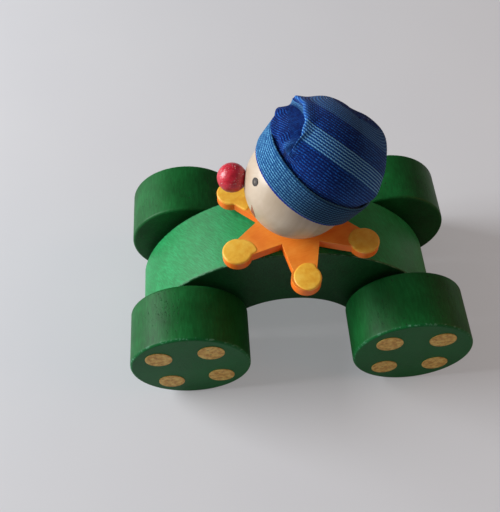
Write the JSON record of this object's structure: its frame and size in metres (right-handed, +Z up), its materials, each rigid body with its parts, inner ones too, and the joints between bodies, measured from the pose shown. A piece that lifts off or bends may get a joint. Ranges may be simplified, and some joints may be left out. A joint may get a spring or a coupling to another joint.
{
  "type": "wooden toy car",
  "caption": "Wooden push-along car: arched body on thick rolling wheels, with a ball-headed clown driver on a star collar in a knitted cap.",
  "frame": {"origin": "on the ground, midway between the axles and between the left and right wheels", "axes": "+Z up, the face looks towards -X (the front), the car's left side is -Y"},
  "size_m": [0.12, 0.0744, 0.1023],
  "materials": {
    "green_paint": "satin green stain on hardwood",
    "wheel_paint": "satin green stain on hardwood",
    "bare_wood": "bare beech dowel",
    "spot_paint": "thin ochre-yellow paint",
    "orange_paint": "satin orange paint",
    "yellow_paint": "satin yellow paint",
    "lacquered_wood": "pale lacquered ball",
    "red_lacquer": "gloss red lacquer",
    "black_paint": "painted dot",
    "mouth_paint": "painted grin",
    "blue_knit": "fine rib knit, striped",
    "teal_knit": "fine rib knit, striped"
  },
  "bodies": {
    "car_body": {"body": "green_paint", "star_collar": "orange_paint", "collar_tips": "yellow_paint", "neck_dowel": "bare_wood", "head": "lacquered_wood", "nose": "red_lacquer", "nose_peg": "bare_wood", "eyes": "black_paint", "mouth": "mouth_paint", "cap_crown": "blue_knit", "cap_cuff": "teal_knit"},
    "front_wheelset": {"front_axle": "bare_wood", "front_left_wheel": "wheel_paint", "front_right_wheel": "wheel_paint", "front_left_spots": "spot_paint", "front_right_spots": "spot_paint"},
    "rear_wheelset": {"rear_axle": "bare_wood", "rear_left_wheel": "wheel_paint", "rear_right_wheel": "wheel_paint", "rear_left_spots": "spot_paint", "rear_right_spots": "spot_paint"}
  },
  "joints": [
    {"name": "front_wheels_roll", "type": "hinge", "parent": "car_body", "child": "front_wheelset", "pos_m": [-0.039, 0, 0.021], "axis": [0, 1, 0], "continuous": true},
    {"name": "rear_wheels_roll", "type": "hinge", "parent": "car_body", "child": "rear_wheelset", "pos_m": [0.039, 0, 0.021], "axis": [0, 1, 0], "continuous": true}
  ]
}
